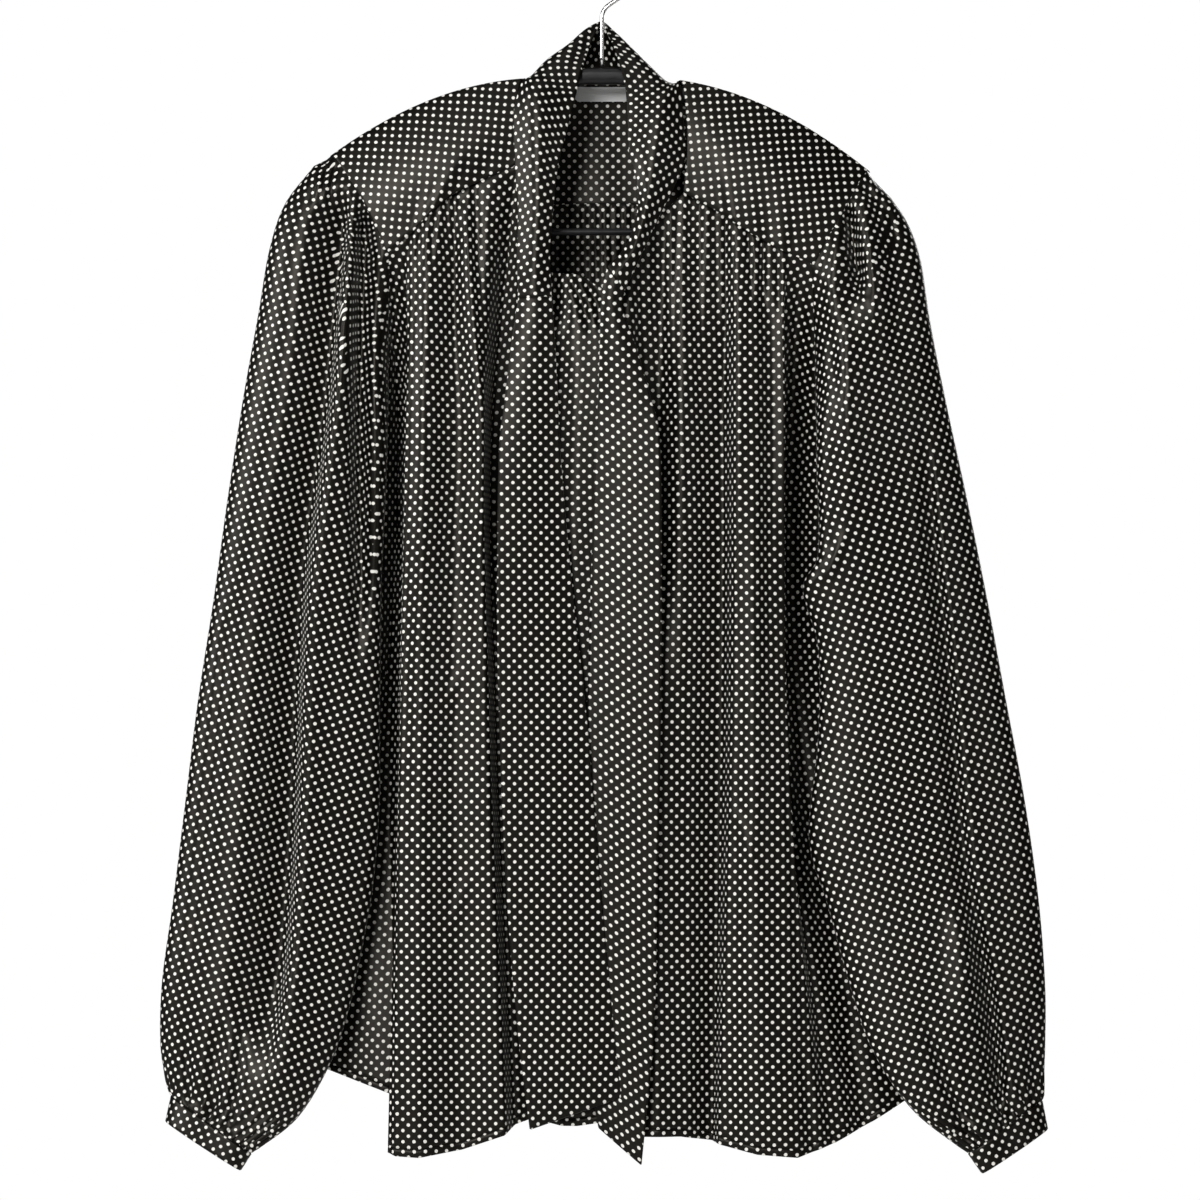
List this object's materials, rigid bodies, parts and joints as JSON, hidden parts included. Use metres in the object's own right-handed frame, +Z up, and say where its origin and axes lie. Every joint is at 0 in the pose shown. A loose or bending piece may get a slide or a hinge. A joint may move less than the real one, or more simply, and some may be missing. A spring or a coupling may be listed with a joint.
{
  "type": "long-sleeve blouse on a hanger",
  "caption": "Loose long-sleeve blouse with a shoulder yoke, gathered fronts, narrow cuffs and a tie neck, hanging on a plain clothes hanger.",
  "frame": {"origin": "the inside top of the hanger's hook, where it rests on a rail", "axes": "+Z up, +X to the viewer's right, -Y towards the viewer, out of the blouse's front"},
  "size_m": [0.5753, 0.0991, 0.803],
  "materials": {
    "crepe": "soft matte crepe, black with cream pin dots",
    "label": "plain white woven tape",
    "plastic": "smooth black plastic",
    "chrome": "bright drawn wire"
  },
  "bodies": {
    "root": {"yoke": "crepe", "front_left": "crepe", "front_right": "crepe", "back": "crepe", "sleeve_left": "crepe", "sleeve_right": "crepe", "cuff_left": "crepe", "cuff_right": "crepe", "collar_band": "crepe", "tie_left": "crepe", "tie_right": "crepe", "label": "label", "hanger_arms": "plastic", "hanger_bar": "plastic", "hanger_hook": "chrome"}
  },
  "joints": []
}
